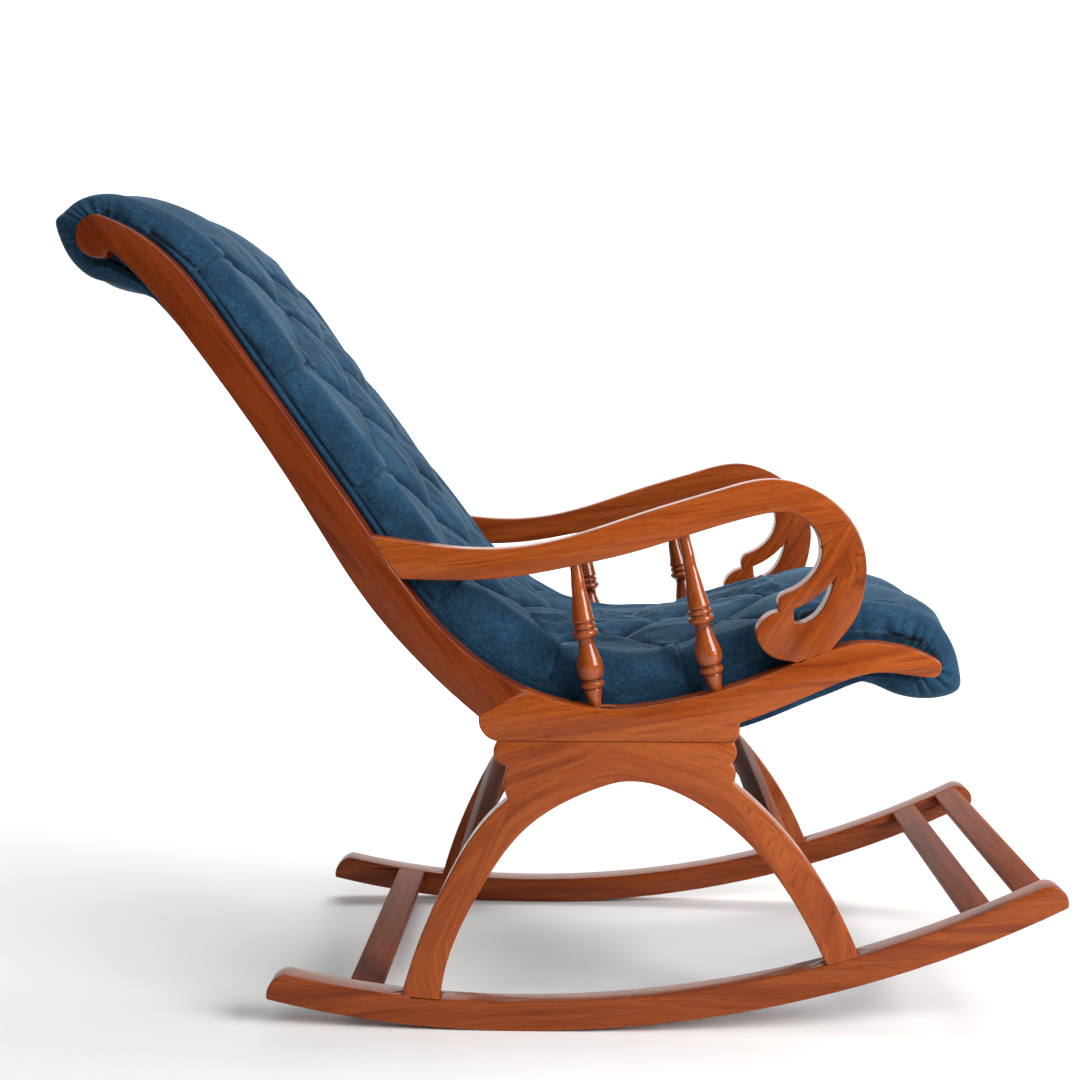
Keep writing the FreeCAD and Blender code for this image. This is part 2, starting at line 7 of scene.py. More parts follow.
import bmesh
import bpy
import numpy as np
from mathutils.bvhtree import BVHTree
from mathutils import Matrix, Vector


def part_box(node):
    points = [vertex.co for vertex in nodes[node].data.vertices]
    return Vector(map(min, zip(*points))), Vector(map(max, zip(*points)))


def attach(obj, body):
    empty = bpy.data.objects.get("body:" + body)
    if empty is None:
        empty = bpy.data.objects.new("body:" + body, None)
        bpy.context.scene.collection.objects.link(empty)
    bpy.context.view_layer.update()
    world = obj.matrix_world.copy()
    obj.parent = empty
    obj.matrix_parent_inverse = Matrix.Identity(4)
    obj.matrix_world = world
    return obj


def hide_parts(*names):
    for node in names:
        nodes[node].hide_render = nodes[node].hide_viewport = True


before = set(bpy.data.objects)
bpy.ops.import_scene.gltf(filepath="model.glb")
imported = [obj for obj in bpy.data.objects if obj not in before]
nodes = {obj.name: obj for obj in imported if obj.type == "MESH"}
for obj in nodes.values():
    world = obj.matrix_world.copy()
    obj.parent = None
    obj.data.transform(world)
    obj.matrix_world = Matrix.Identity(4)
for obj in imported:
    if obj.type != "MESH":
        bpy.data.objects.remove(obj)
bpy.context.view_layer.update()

# Side frames
# Each is sawn from 36 mm planks of teak: a long back rail, a seat rail, two legs, a runner, an arm and its
# scroll, glued edge to edge. The grain runs straight through each curved board, but in the two legs it turns
# with the arch. The maker has eased every arris by hand before the varnish.
arris = 0.0022
glue_line = 0.0004
bevelled_from = math.radians(38)
shaded_sharp_from = math.radians(40)
KNOT = (0.371, -0.300, 0.573)
ARCH_CENTRE = (0.077, 0.125)
arch_radius = 0.25


def merged_board(name):
    """CAD board with equal corners merged and flat strips joined."""
    wood = bmesh.new()
    wood.from_mesh(nodes[name].data)
    bmesh.ops.remove_doubles(wood, verts=wood.verts, dist=1e-6)
    bmesh.ops.dissolve_limit(wood, angle_limit=math.radians(0.3), verts=wood.verts, edges=wood.edges)
    return wood


def sanded_board(name, glued_to=()):
    """Copy of a CAD board with each sharp arris rounded, but not the edges that lie in a glued joint."""
    mesh = bpy.data.meshes.new(name + "_sanded")
    wood = merged_board(name)
    neighbours = []
    for other in glued_to:
        beside = merged_board(other)
        neighbours.append(BVHTree.FromBMesh(beside))
        beside.free()
    weight = wood.edges.layers.float.new("bevel_weight_edge")
    for edge in wood.edges:
        sharp = len(edge.link_faces) == 2 and edge.calc_face_angle(0) > bevelled_from
        spots = (edge.verts[0].co, edge.verts[1].co, (edge.verts[0].co + edge.verts[1].co) / 2)
        glued = any(all(tree.find_nearest(spot, glue_line)[0] is not None for spot in spots)
                    for tree in neighbours)
        edge[weight] = 1.0 if sharp and not glued else 0.0
    wood.to_mesh(mesh)
    wood.free()
    rough = bpy.data.objects.new(name + "_rough", mesh)
    bpy.context.scene.collection.objects.link(rough)
    plane = rough.modifiers.new("arris", "BEVEL")
    plane.width = arris
    plane.segments = 3
    plane.limit_method = "WEIGHT"
    plane.use_clamp_overlap = False
    bpy.context.view_layer.update()
    evaluated = rough.evaluated_get(bpy.context.evaluated_depsgraph_get())
    mesh = bpy.data.meshes.new_from_object(evaluated)
    bpy.data.objects.remove(rough)
    mesh.name = name + "_varnished"
    return mesh


def store(mesh, name, kind, values):
    """Keeps one number or one vector for each point of a mesh, for its material to read."""
    field = "vector" if kind == "FLOAT_VECTOR" else "value"
    kept = mesh.attributes.new(name, kind, "POINT")
    kept.data.foreach_set(field, np.asarray(values, np.float32).ravel())


def plank_grain(mesh, lean, place, tone):
    """Stores on each point where it lies in its plank: along the grain, across it and through it, in metres.

    The grain leans by an angle from +X in the XZ plane, runs along Y where lean is None, or turns round a
    centre where lean is its x and z. place moves the board to its own part of the tree, and tone is how dark
    the plank is, from 0 to 1.
    """
    at = np.empty(len(mesh.vertices) * 3, np.float32)
    mesh.vertices.foreach_get("co", at)
    x, y, z = at.reshape(-1, 3).T
    if lean is None:
        plank = np.stack([y, x, z], 1)
    elif isinstance(lean, tuple):
        away_x, away_z = x - lean[0], z - lean[1]
        plank = np.stack([arch_radius * np.arctan2(away_x, away_z), np.hypot(away_x, away_z), y], 1)
    else:
        c, s = math.cos(math.radians(lean)), math.sin(math.radians(lean))
        plank = np.stack([x * c + z * s, z * c - x * s, y], 1)
    store(mesh, "plank", "FLOAT_VECTOR", plank + np.array(place))
    store(mesh, "tone", "FLOAT", tone + 0 * x)
    store(mesh, "place", "FLOAT_VECTOR", at)


def linear(code):
    """sRGB hex colour as linear red, green, blue and alpha."""
    channels = [int(code[i:i + 2], 16) / 255 for i in (1, 3, 5)]
    return [c / 12.92 if c <= 0.04045 else ((c + 0.055) / 1.055) ** 2.4 for c in channels] + [1.0]


def node(tree, kind, links=(), **settings):
    """Adds a node. Settings are its properties or sockets by name, and links pair a socket with an output."""
    made = tree.nodes.new(kind)
    for key, value in settings.items():
        if hasattr(made, key):
            setattr(made, key, value)
        else:
            made.inputs[key.replace("_", " ")].default_value = value
    for socket, output in links:
        tree.links.new(output, made.inputs[socket])
    return made


def ramp(tree, factor, stops):
    """Colour ramp through pairs of place and sRGB hex colour."""
    made = node(tree, "ShaderNodeValToRGB", [("Fac", factor)])
    elements = made.color_ramp.elements
    while len(elements) < len(stops):
        elements.new(1.0)
    for element, (place, code) in zip(elements, stops):
        element.position = place
        element.color = linear(code)
    return made.outputs["Color"]


def material(name):
    """New material with one Principled shader. Gives the material, its tree and the shader."""
    made = bpy.data.materials.new(name)
    made.use_nodes = True
    return made, made.node_tree, made.node_tree.nodes["Principled BSDF"]


# Teak under gloss varnish. The wood is orange brown with darker growth bands 8 to 20 mm wide, streaks 1 to
# 3 mm wide and pores under 0.5 mm, drawn 0.7 mm wide so that they show. The varnish lies thick, so its
# reflections are sharp but swim a little, and they are white where an arris catches the light.
teak, tree, shader = material("varnished teak")
plank = node(tree, "ShaderNodeAttribute", attribute_name="plank").outputs["Vector"]
tone = node(tree, "ShaderNodeAttribute", attribute_name="tone").outputs["Fac"]
drawn_out = node(tree, "ShaderNodeMapping", [("Vector", plank)], Scale=(3.0, 9.0, 9.0)).outputs["Vector"]
sway = node(tree, "ShaderNodeTexNoise", [("Vector", drawn_out)], Scale=1.0, Detail=2.0, Roughness=0.5)
swayed = node(tree, "ShaderNodeVectorMath", [(0, sway.outputs["Color"])], operation="SCALE", Scale=0.03)
bent = node(tree, "ShaderNodeVectorMath", [(0, plank), (1, swayed.outputs["Vector"])], operation="ADD")


def streaks(along, across, detail=3.0, roughness=0.55):
    """Noise drawn out along the grain, with the given number of features per metre along and across it."""
    turned = node(tree, "ShaderNodeMapping", [("Vector", bent.outputs["Vector"])],
                  Scale=(along, across, across))
    return node(tree, "ShaderNodeTexNoise", [("Vector", turned.outputs["Vector"])], Scale=1.0, Detail=detail,
                Roughness=roughness).outputs["Fac"]


def blend(kind, a, b, factor):
    """Mixes two colours, with a fixed or linked factor."""
    mixed = node(tree, "ShaderNodeMix", data_type="RGBA", blend_type=kind)
    for socket, value in ((0, factor), (6, a), (7, b)):
        if isinstance(value, bpy.types.NodeSocket):
            tree.links.new(value, mixed.inputs[socket])
        else:
            mixed.inputs[socket].default_value = value
    return mixed.outputs[2]


bands = streaks(2.2, 52.0, 3.0, 0.55)
fine = streaks(7.0, 430.0, 4.0, 0.65)
pores = streaks(55.0, 1500.0, 1.0, 0.5)
flecks = streaks(14.0, 60.0, 2.0, 0.5)
light_wood = ramp(tree, bands, [(0.30, "#80360b"), (0.45, "#974614"), (0.56, "#a5521c"), (0.70, "#893c0f")])
dark_wood = ramp(tree, bands, [(0.30, "#4e1903"), (0.46, "#602205"), (0.58, "#6a2806"), (0.72, "#541c03")])
wood = blend("MIX", light_wood, dark_wood, tone)
streaked = ramp(tree, fine, [(0.30, "#b98a6a"), (0.48, "#ffffff"), (0.70, "#e8cdb4")])
wood = blend("MULTIPLY", wood, streaked, 0.75)
wood = blend("MULTIPLY", wood, ramp(tree, pores, [(0.30, "#6b4531"), (0.40, "#ffffff")]), 0.45)
wood = blend("MULTIPLY", wood, ramp(tree, flecks, [(0.22, "#7a5140"), (0.32, "#ffffff")]), 0.45)

# One knot with smoky streaks round it, 45 mm across, in the scrolls under the fronts of the arms
on_chair = node(tree, "ShaderNodeAttribute", attribute_name="place").outputs["Vector"]
from_knot = node(tree, "ShaderNodeVectorMath", [(0, on_chair)], operation="DISTANCE")
from_knot.inputs[1].default_value = KNOT
near_knot = node(tree, "ShaderNodeMapRange", [("Value", from_knot.outputs["Value"])], From_Min=0.004,
                 From_Max=0.045, To_Min=1.0, To_Max=0.0)
smoke = node(tree, "ShaderNodeTexNoise", [("Vector", plank)], Scale=42.0, Detail=4.0, Roughness=0.7,
             Distortion=1.6)
smoky = ramp(tree, smoke.outputs["Fac"], [(0.46, "#000000"), (0.62, "#ffffff")])
knotted = node(tree, "ShaderNodeMath", [(0, near_knot.outputs["Result"]), (1, smoky)], operation="MULTIPLY")
wood = blend("MIX", wood, linear("#3a1606"), knotted.outputs["Value"])
tree.links.new(wood, shader.inputs["Base Color"])
shader.inputs["Roughness"].default_value = 0.36
shader.inputs["IOR"].default_value = 1.5
shader.inputs["Specular IOR Level"].default_value = 0.12
shader.inputs["Coat Weight"].default_value = 0.24
shader.inputs["Coat Roughness"].default_value = 0.09
shader.inputs["Coat IOR"].default_value = 1.5
swim = node(tree, "ShaderNodeTexNoise", [("Vector", plank)], Scale=55.0, Detail=2.0, Roughness=0.5)
relief = node(tree, "ShaderNodeBump", [("Height", swim.outputs["Fac"])], Strength=0.12, Distance=0.004)
relief = node(tree, "ShaderNodeBump", [("Height", fine), ("Normal", relief.outputs["Normal"])], Strength=0.10,
              Distance=0.0006)
tree.links.new(relief.outputs["Normal"], shader.inputs["Normal"])

# The same teak on the stretchers and slats, where feet have worn the varnish thin and dull
worn_teak = teak.copy()
worn_teak.name = "worn teak"
shader = worn_teak.node_tree.nodes["Principled BSDF"]
shader.inputs["Roughness"].default_value = 0.62
shader.inputs["Coat Weight"].default_value = 0.05
shader.inputs["Coat Roughness"].default_value = 0.3

# And on the spindles, polished on the lathe under more varnish
polished_teak = teak.copy()
polished_teak.name = "polished teak"
shader = polished_teak.node_tree.nodes["Principled BSDF"]
shader.inputs["Coat Weight"].default_value = 0.7
shader.inputs["Coat Roughness"].default_value = 0.06


def show(name, mesh, finish, replaced=()):
    """Puts a finished mesh in the scene as a piece that rides on the chair."""
    piece = bpy.data.objects.new(name, mesh)
    bpy.context.scene.collection.objects.link(piece)
    mesh.materials.clear()
    mesh.materials.append(finish)
    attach(piece, "root")
    if replaced:
        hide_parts(*replaced)
    return piece


# Board, lean of its grain in degrees or the centre that it turns round, tone. The two legs come from the same
# part of the tree, so the grain runs on over their joint, and the boards of the left side are darker: painted
# shade for the far side of the chair.
boards = [("back_rail", -53, 0.85), ("seat_rail", 8, 0.15), ("rear_leg", ARCH_CENTRE, 0.2),
          ("front_leg", ARCH_CENTRE, 0.15), ("runner", 3, 0.45), ("arm", 8, 0.2), ("arm_scroll", 56, 0.3)]
far_side_painted_shade = 0.3
legs_place = 2
for number, (board, lean, tone_of_board) in enumerate(boards):
    tree_part = legs_place if lean == ARCH_CENTRE else number
    for side, shift in (("right", 0.0), ("left", 3.1)):
        name = board + "_" + side
        mesh = sanded_board(name, [other + "_" + side for other, *_ in boards if other != board])
        plank_grain(mesh, lean, (tree_part * 1.7 + shift, tree_part * 0.37, shift * 0.2),
                    tone_of_board + far_side_painted_shade * (side == "left") * (1 - tone_of_board))
        mesh.shade_smooth()
        mesh.set_sharp_from_angle(angle=shaded_sharp_from)
        show(name + "_teak", mesh, teak, [name])

# Stretchers and slats
# Narrow teak bars that run across the chair: two stretchers near the tops of the legs, one slat at the back
# of the runners and two foot slats at their front, let in flush with the tops of the runners.
# The darker tones of these bars are painted shade, as they lie under the seat and low between the runners
cross_pieces = [("rear_stretcher", 0.7), ("front_stretcher", 0.6), ("rear_slat", 0.7),
                ("inner_foot_slat", 0.6), ("outer_foot_slat", 0.55)]
for number, (name, tone_of_board) in enumerate(cross_pieces):
    mesh = sanded_board(name)
    plank_grain(mesh, None, (number * 2.3, number * 0.61, 0.0), tone_of_board)
    mesh.shade_smooth()
    mesh.set_sharp_from_angle(angle=shaded_sharp_from)
    show(name + "_teak", mesh, worn_teak, [name])

# Spindles
# Two on each side between the seat rail and the arm, turned on a lathe from teak: a foot cone, a collar, a
# vase, two discs and a long tapering shaft. They are hand turned, so no two rings are quite alike.

# Side outlines are drawn with the centre of the head bar at x = -564 mm, and this brings them into the frame
drawing_shift = sum(corner.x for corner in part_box("head_bar")) / 2 + 0.564
# Height up the spindle and radius
SPINDLE = np.array([(-4, 7), (0, 7.1), (8, 8.6), (15, 10.2), (18, 10.8), (19.4, 10.8), (20.6, 9.7),
                    (21.6, 12.4), (24.5, 14.4), (28, 14.3), (30.2, 12.2), (31.2, 11.0), (32.2, 12.0),
                    (34, 13.5), (38, 15.2), (44, 16.3), (50, 16.1), (56, 14.9), (62, 13.1), (70, 10.8),
                    (76, 9.8), (80, 9.7), (83, 10.7), (84.6, 12.7), (87, 15.1), (89.6, 16.0), (92, 15.3),
                    (93.6, 13.2), (94.7, 11.9), (95.8, 13.4), (98.5, 14.3), (101, 13.2), (102.4, 11.5),
                    (103.6, 13.2), (105.8, 14.0), (108, 13.4), (115, 12.3), (125, 11.0), (141, 9.0),
                    (155, 7.8)]) / 1000
spindle_head_radius = 0.0067
head_in_arm = 0.004
spindle_rings = 300
turned_sides = 48
hand_ripple = 0.00025
recess_depth = 0.0016
middle_of_boards = 0.282


def grid_faces(rows, columns, closed=False):
    """Four-sided faces of a grid of points, row by row. A closed grid joins its last column to its first."""
    first = np.arange(rows - 1)[:, None] * columns
    here = np.arange(columns if closed else columns - 1)
    onward = (here + 1) % columns
    corners = (first + here, first + onward, first + columns + onward, first + columns + here)
    return np.stack(np.broadcast_arrays(*corners), -1).reshape(-1, 4).tolist()


def turned_mesh(name, foot, head, across, seed):
    """Profile carried round the line from foot to head: axis + radius(height) x (cos, sin) of the turn.

    A slow ripple in the radius stands for the turner's hand. Also gives how much each point is darkened,
    which grows where the radius is less than its mean over the 25 rings round it.
    """
    foot, head = (np.array([drawing_shift + p[0], across, p[1]]) for p in (foot, head))
    axis = head - foot
    length = np.linalg.norm(axis)
    axis /= length
    heights = np.r_[SPINDLE[:, 0], length, length + head_in_arm]
    radii = np.r_[SPINDLE[:, 1], spindle_head_radius, spindle_head_radius - 0.0002]
    h = np.linspace(heights[0], heights[-1], spindle_rings)
    r = np.interp(h, heights, radii)
    around = np.convolve(np.pad(r, 12, "edge"), np.ones(25) / 25, "valid")
    recess_share = np.clip((around - r) / recess_depth, 0, 1)
    turn = np.linspace(0, 2 * np.pi, turned_sides, endpoint=False)
    hand = np.random.default_rng(seed).uniform(0, 6, 3)
    r = r[:, None] + hand_ripple * np.sin(190 * h[:, None] + hand[0] + np.sin(turn + hand[1]))
    side = np.cross(axis, (0, 1, 0))
    ring = np.cos(turn)[:, None] * side + np.sin(turn)[:, None] * np.cross(axis, side)
    points = foot + h[:, None, None] * axis + r[..., None] * ring
    rows, columns = r.shape
    faces = grid_faces(rows, columns, closed=True)
    faces += [list(range(columns))[::-1], list(range((rows - 1) * columns, rows * columns))]
    mesh = bpy.data.meshes.new(name)
    mesh.from_pydata(points.reshape(-1, 3).tolist(), [], faces)
    tidy = bmesh.new()
    tidy.from_mesh(mesh)
    bmesh.ops.recalc_face_normals(tidy, faces=tidy.faces)
    tidy.to_mesh(mesh)
    tidy.free()
    mesh.shade_smooth()
    return mesh, np.repeat(recess_share, columns)


spindle_line = {"rear_spindle": ((0.037, 0.405), (0.012, 0.577)),
                "front_spindle": ((0.184, 0.424), (0.144, 0.613))}
for number, (spindle, (foot, head)) in enumerate(spindle_line.items()):
    for side, across in (("right", -middle_of_boards), ("left", middle_of_boards)):
        name = spindle + "_" + side
        mesh, recess_share = turned_mesh(name + "_turned", foot, head, across, number * 2 + (side == "left"))
        lean = math.degrees(math.atan2(head[1] - foot[1], head[0] - foot[0]))
        # Tone is 0.25, more where the profile dips below its mean, and 0.25 more on the left spindles:
        # painted shade for the far side of the chair
        plank_grain(mesh, lean, (number * 1.3 + across * 9, 5.2 + number, 0.3),
                    0.25 + 0.65 * recess_share + 0.25 * (side == "left"))
        show(name + "_turned", mesh, polished_teak, [name])

# Hidden frame of the seat
# Rough bars, plywood, foam, dowels and tacks that the cover and the linings hide.


def plain_finish(name, stops, pattern, scale, roughness, metal=0.0):
    """Material whose colour follows one noise in Object coordinates, drawn out by the scales in pattern."""
    made, tree, shader = material(name)
    place = node(tree, "ShaderNodeTexCoord").outputs["Object"]
    spread = node(tree, "ShaderNodeMapping", [("Vector", place)], Scale=pattern)
    noise = node(tree, "ShaderNodeTexNoise", [("Vector", spread.outputs["Vector"])], Scale=scale, Detail=4.0)
    tree.links.new(ramp(tree, noise.outputs["Fac"], stops), shader.inputs["Base Color"])
    relief = node(tree, "ShaderNodeBump", [("Height", noise.outputs["Fac"])], Strength=0.2, Distance=0.0005)
    tree.links.new(relief.outputs["Normal"], shader.inputs["Normal"])
    shader.inputs["Roughness"].default_value = roughness
    shader.inputs["Metallic"].default_value = metal
    return made


# Sawn hardwood, grain along the bars; birch plywood with broad flame figure; open-cell foam, yellow, with
# 2 mm cells; beech dowels; blued steel tacks
hidden_finish = {
    "_bar": plain_finish("sawn hardwood", [(0.35, "#8d6a45"), (0.65, "#b08c62")],
                         (1.0, 0.05, 1.0), 260.0, 0.75),
    "_plywood": plain_finish("birch plywood", [(0.35, "#b78f61"), (0.65, "#d2ad7d")],
                             (1.0, 0.15, 1.0), 60.0, 0.65),
    "_foam": plain_finish("open-cell foam", [(0.4, "#cfc08a"), (0.6, "#e2d6a6")],
                          (1.0, 1.0, 1.0), 500.0, 0.95),
    "_dowels": plain_finish("beech dowel", [(0.4, "#b8925f"), (0.6, "#cda979")],
                            (1.0, 0.08, 1.0), 600.0, 0.6),
    "_tacks": plain_finish("blued steel", [(0.4, "#5a6068"), (0.6, "#7b828a")],
                           (1.0, 1.0, 1.0), 900.0, 0.35, 1.0)}
for name, cad_object in nodes.items():
    for ending, finish in hidden_finish.items():
        if name.endswith(ending):
            cad_object.data.materials.clear()
            cad_object.data.materials.append(finish)

# Tufted cover
# One length of deep blue velvet over wadding and foam, from under the back of the head, down the back and
# over the seat to the underside of the toe. Hidden stitches pull it down in a lattice of diamonds, and from
# the outermost stitch of each row one pleat runs straight out and down the side. It is gathered in small
# pleats round the head scroll and the toe, and its lower edge is turned under along the rails.
RAIL_LINE = np.array([(-563, 1000), (-540, 991), (-487, 956), (-414, 867), (-334, 754), (-235, 612),
                      (-182, 536), (-128, 478), (-63, 432), (2, 409), (70, 403), (146, 415), (216, 434),
                      (278, 460), (321, 476), (354, 484), (389, 483), (417, 478), (444, 467)]) / 1000
# Station along the rails and height of the cover's shoulder over them
SHOULDER = np.array([(0, 28), (60, 33), (128, 38), (290, 42), (455, 46), (628, 51), (807, 56), (988, 50),
                     (1150, 40), (1294, 34)]) / 1000
# Round the head and the toe: x and z of the shoulder, x and z inside the wood, station
HEAD_TURN = np.array([(-503, 898, -512, 930, -250), (-520, 906, -525, 938, -232),
                      (-545, 915, -544, 950, -205), (-563, 922, -556, 957, -186),
                      (-582, 927, -566, 957, -167), (-600, 938, -574, 960, -146),
                      (-614, 955, -579, 966, -124), (-624, 977, -581, 973, -100),
                      (-628, 991, -580, 980, -84), (-628, 998, -578, 982, -79), (-623, 1003, -576, 985, -72),
                      (-607, 1015, -572, 988, -52), (-580, 1025, -566, 990, -23)]) / 1000
TOE_TURN = np.array([(452, 503, 434, 462, 1302), (468, 486, 438, 460, 1325), (479, 464, 441, 457, 1350),
                     (485, 440, 442, 454, 1374), (486, 428, 441, 452, 1386), (483, 421, 440, 451, 1394),
                     (470, 414, 436, 450, 1409), (450, 410, 426, 451, 1429), (426, 410, 412, 452, 1453),
                     (404, 415, 398, 455, 1476), (391, 421, 388, 457, 1490), (379, 426, 377, 458, 1503),
                     (366, 429, 366, 458, 1516), (352, 432, 354, 458, 1530)]) / 1000
# Stations of the outermost stitch of each row
SEAMS = np.array([128, 290, 455, 628, 807, 988, 1150]) / 1000
row_numbers = np.arange(7.0)
half_cover = 0.262
tucked_in = 0.010
shoulder_radius = 0.028
tuft_spacing = 0.100
tuft_pitch = 0.165
tuft_lag = 0.010
under_columns = 10
held_columns = 9

# Bead of turned-under cloth along the rail, then the wadded wall over it
bead_foot = 0.009
bead_height = 0.0095
bead_out = 0.0032
bead_slot = 0.0018
bead_top = 0.0198
wall_start = 0.020
belly_out = 0.0050

# Pleats and creases: how deep each is cut
side_pleat_out = 0.0032
pleat_fade = 0.016
seam_width = 0.0016
seam_depth = 0.0010
top_seam_depth = 0.0022
stitch_depth = 0.006
crease_depth = 0.0080
crease_width = 0.0065
fold_shade_width = 0.0055

# How far the cloth simulation may move the cover, and the spacing of its net
swell_reach = 0.0045
net_spacing = 0.006
swell_frames = 20


def flowing(points, at):
    """Natural cubic spline through the points, at shares of the distance run in their first two columns."""
    knots = np.r_[0, np.cumsum(np.linalg.norm(np.diff(points[:, :2], axis=0), axis=1))]
    gaps = np.diff(knots)
    system, pull = np.eye(len(knots)), np.zeros_like(points)
    inner = np.arange(1, len(knots) - 1)
    system[inner, inner - 1], system[inner, inner + 1] = gaps[:-1] / 6, gaps[1:] / 6
    system[inner, inner] = (gaps[:-1] + gaps[1:]) / 3
    slopes = np.diff(points, axis=0) / gaps[:, None]
    pull[inner] = slopes[1:] - slopes[:-1]
    bend = np.linalg.solve(system, pull)
    at = np.asarray(at) * knots[-1]
    j = np.clip(np.searchsorted(knots, at, side="right") - 1, 0, len(gaps) - 1)
    gap = gaps[j][:, None]
    a = (knots[j + 1] - at)[:, None] / gap
    b = 1 - a
    curve = ((a ** 3 - a) * bend[j] + (b ** 3 - b) * bend[j + 1]) * gap ** 2 / 6
    return a * points[j] + b * points[j + 1] + curve


def run_of(line):
    """Distance run along a line of points."""
    return np.r_[0, np.cumsum(np.linalg.norm(np.diff(line, axis=0), axis=1))]


rail = flowing(RAIL_LINE, np.linspace(0, 1, 3000))
rail_station = run_of(rail)
rail_way = np.gradient(rail, axis=0)
rail_way /= np.linalg.norm(rail_way, axis=1)[:, None]
rail_out = np.stack([-rail_way[:, 1], rail_way[:, 0]], 1)
stops = np.linspace(0.012, 1.268, 36)
pick = np.searchsorted(rail_station, stops)
rise_here = np.interp(stops, SHOULDER[:, 0], SHOULDER[:, 1])[:, None]
rail_pairs = np.hstack([rail[pick] + rail_out[pick] * rise_here, rail[pick] - rail_out[pick] * tucked_in,
                        stops[:, None]])
pairs = np.concatenate([HEAD_TURN, rail_pairs, TOE_TURN])

# Rows stand 4 mm apart, closer round the ends, where the gathers are, and closest at the seams
trial = flowing(pairs, np.linspace(0, 1, 6000))
to_seam = np.abs(trial[:, 4, None] - SEAMS).min(1)
at_ends = np.clip((np.maximum(0.05 - trial[:, 4], trial[:, 4] - 1.20)) / 0.05, 0, 1)
rows_per_metre = 235 + 230 * at_ends + 700 * np.exp(-(to_seam / 0.004) ** 2)
counted = np.r_[0, np.cumsum((rows_per_metre[1:] + rows_per_metre[:-1]) / 2 * np.diff(run_of(trial[:, :2])))]
path = flowing(pairs, np.interp(np.arange(int(counted[-1])), counted, np.linspace(0, 1, 6000)))
shoulder_line, wood_line, station = path[:, :2], path[:, 2:4], path[:, 4]
lift = shoulder_line - wood_line
rise = np.linalg.norm(lift, axis=1)
lift /= rise[:, None]
rise = rise[:, None]


def pillow(turns, skew=1.2):
    """Section of one stuffed panel, (1 - |2 x^skew - 1|^2.4)^0.6: full in the middle, steep at the folds.

    A skew over 1 makes the lower end fuller and steeper, as pleats are turned that way.
    """
    x = (turns % 1) ** skew
    return np.clip(1 - np.abs(2 * x - 1) ** 2.4, 0, 1) ** 0.6


def graded(stops_and_values):
    """Value in metres at each row, from pairs of station and value in millimetres."""
    table = np.array(stops_and_values, float) / 1000
    return np.interp(station, table[:, 0], table[:, 1])[:, None]


# Across the cover: up the near side, round the shoulder, over the top, and down the far side
wall = np.r_[0, 0.006, 0.0100, 0.0112, 0.0130, 0.0150, 0.0170, 0.0186, 0.0200, np.linspace(0, 1, 9)[1:]]
round_off = np.linspace(0, np.pi / 2, 9)[1:]
top_half = half_cover - shoulder_radius
crossing = np.linspace(-1, 1, 128)[1:-1] * top_half
seam_gap = np.abs(station[:, None] - SEAMS).min(1)[:, None]
behind_seam = station[:, None] - SEAMS
behind_seam = np.where(behind_seam < 0, 1.0, behind_seam).min(1)[:, None]
pleat_step = np.exp(-behind_seam / pleat_fade)
groove = np.exp(-(seam_gap / seam_width) ** 2)
fullness = 1 - 0.5 * pleat_step

wall_height = np.broadcast_to(wall, (len(station), len(wall))).copy()
wall_height[:, held_columns:] = wall_start + (rise - shoulder_radius - wall_start) * wall[held_columns:]
share = np.clip((wall_height - tucked_in) / (rise - tucked_in), 0, 1)
belly = belly_out * np.sin(np.pi * np.clip((wall_height - 0.012) / (rise - 0.012), 0, 1)) ** 0.8
beaded = graded([(-250, 0), (20, 0), (70, 1), (560, 1), (650, 0.2), (1526, 0.2)]) * 1000
bead = bead_out * beaded * np.sin(np.pi * np.clip((wall_height - bead_foot) / bead_height, 0, 1))
bead -= bead_slot * beaded * np.exp(-((wall_height - bead_top) / seam_width) ** 2)
panel_share = np.clip((wall_height - 0.019) / 0.006, 0, 1)
wall_out = belly * fullness + bead - (side_pleat_out * pleat_step + seam_depth * groove) * panel_share

# Gathers on the side: small pleats that radiate from the wood and die out at the shoulder. Each has a
# station, how far up the side it reaches, a depth, a slant and a width. Those nearest the straight part of
# the side are shallower.
under_head_gather, first_head_gather, last_head_gather = -0.26, -0.155, 0.075
first_toe_gather, last_toe_gather = 1.195, 1.44
shallow_from, shallow_to, shallow = 0.02, 1.25, 0.55
gather_foot = 0.006
gather_seed = np.random.default_rng(5)
pleat_marks = np.cumsum(gather_seed.uniform(0.009, 0.017, 17)) + first_head_gather
pleat_marks = np.concatenate([[under_head_gather], pleat_marks])
pleat_marks = pleat_marks[pleat_marks < last_head_gather]
toe_marks = first_toe_gather + np.cumsum(gather_seed.uniform(0.013, 0.024, 16))
marks = np.concatenate([pleat_marks, toe_marks[toe_marks < last_toe_gather]])
reach = gather_seed.uniform(0.55, 1.3, len(marks))
depth = gather_seed.uniform(0.0030, 0.0060, len(marks))
depth = depth * np.where((marks > shallow_from) & (marks < shallow_to), shallow, 1)
slant = gather_seed.uniform(-0.004, 0.012, len(marks))
width = gather_seed.uniform(0.0026, 0.0048, len(marks))
gathers = np.zeros_like(wall_out)
# Puckers beside the head scroll: station, reach and depth
puckers = [(0.062, 0.6, 0.0008), (0.070, 0.8, 0.0013), (0.078, 0.6, 0.0008), (0.098, 0.5, 0.0010),
           (0.106, 0.6, 0.0008), (0.196, 0.5, 0.0009), (0.203, 0.6, 0.0008)]
for mark, far, deep, lean_of_pleat, wide in [*zip(marks, reach, depth, slant, width),
                                             *[(m, r, d, 0.004, 0.0022) for m, r, d in puckers]]:
    away = (station[:, None] - mark - lean_of_pleat * share) / (wide * (1 + share))
    fade = np.clip(1 - share / far, 0, 1) ** 0.7 * np.clip((wall_height - gather_foot) / 0.012, 0, 1)
    gathers -= deep * np.exp(-away ** 2) * fade
